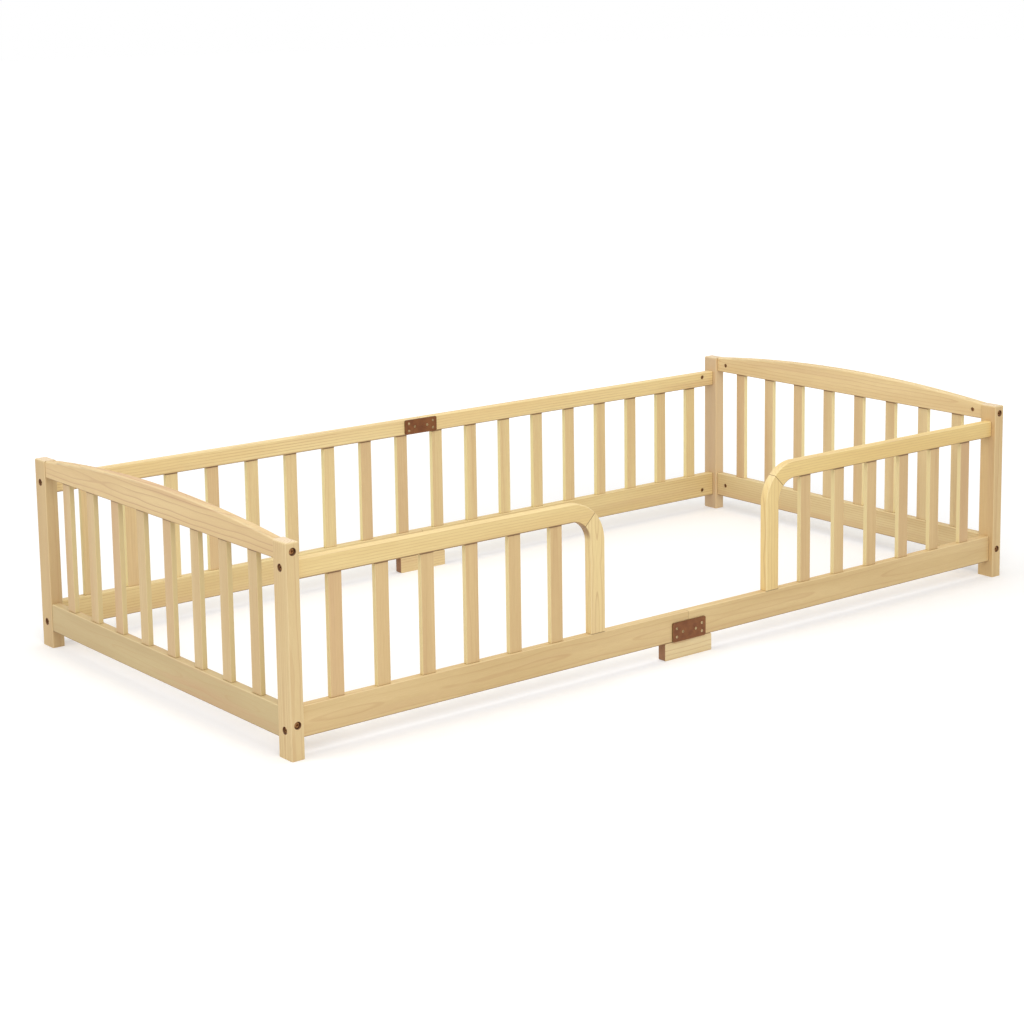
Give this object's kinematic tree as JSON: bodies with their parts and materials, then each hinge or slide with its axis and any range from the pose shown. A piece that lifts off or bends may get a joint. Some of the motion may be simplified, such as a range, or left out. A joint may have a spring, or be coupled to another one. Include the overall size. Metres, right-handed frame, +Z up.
{
  "type": "toddler floor bed",
  "caption": "Low pine floor bed: corner posts, slatted fence rails, arched end rails and front guards with rounded corners beside an open way in. The mattress lies on the floor inside.",
  "frame": {"origin": "on the floor, under the middle of the bed's outline", "axes": "+X along the bed's length, towards its right end seen from the open front; +Y from the open front to the back fence; +Z up"},
  "size_m": [1.96, 0.98, 0.4299],
  "materials": {
    "post_wood": "planed softwood, clear satin",
    "rail_wood": "planed softwood, clear satin",
    "slat_wood": "planed softwood, clear satin",
    "block_wood": "planed softwood, clear satin",
    "dowel_wood": "fluted hardwood, raw",
    "plate_brown": "brown satin coating",
    "fitting_brass": "yellow-passivated, satin",
    "screw_steel": "plated, satin"
  },
  "bodies": {
    "root": {"back_bottom_joint_plate": "plate_brown", "back_bottom_rail_left": "rail_wood", "back_bottom_rail_right": "rail_wood", "back_centre_block": "block_wood", "back_slats_left": "slat_wood", "back_slats_right": "slat_wood", "back_top_joint_plate": "plate_brown", "back_top_rail_left": "rail_wood", "back_top_rail_right": "rail_wood", "barrel_nuts": "fitting_brass", "front_bottom_rail_left": "rail_wood", "front_bottom_rail_right": "rail_wood", "front_centre_block": "block_wood", "front_joint_plate": "plate_brown", "guard_dowels": "dowel_wood", "guard_slat_left_1": "slat_wood", "guard_slat_left_2": "slat_wood", "guard_slat_left_3": "slat_wood", "guard_slat_left_4": "slat_wood", "guard_slat_left_5": "slat_wood", "guard_slat_left_6": "slat_wood", "guard_slat_right_1": "slat_wood", "guard_slat_right_2": "slat_wood", "guard_slat_right_3": "slat_wood", "guard_slat_right_4": "slat_wood", "guard_slat_right_5": "slat_wood", "guard_slat_right_6": "slat_wood", "guard_top_rail_left": "rail_wood", "guard_top_rail_right": "rail_wood", "guard_upright_left": "rail_wood", "guard_upright_right": "rail_wood", "joint_dowels": "dowel_wood", "left_end_arch_rail": "rail_wood", "left_end_bottom_rail": "rail_wood", "left_end_slat_1": "slat_wood", "left_end_slat_2": "slat_wood", "left_end_slat_3": "slat_wood", "left_end_slat_4": "slat_wood", "left_end_slat_5": "slat_wood", "left_end_slat_6": "slat_wood", "left_end_slat_7": "slat_wood", "left_end_slat_8": "slat_wood", "plate_screws": "screw_steel", "post_back_left": "post_wood", "post_back_right": "post_wood", "post_front_left": "post_wood", "post_front_right": "post_wood", "rail_bolts": "fitting_brass", "rail_end_dowels": "dowel_wood", "right_end_arch_rail": "rail_wood", "right_end_bottom_rail": "rail_wood", "right_end_slat_1": "slat_wood", "right_end_slat_2": "slat_wood", "right_end_slat_3": "slat_wood", "right_end_slat_4": "slat_wood", "right_end_slat_5": "slat_wood", "right_end_slat_6": "slat_wood", "right_end_slat_7": "slat_wood", "right_end_slat_8": "slat_wood"}
  },
  "joints": []
}
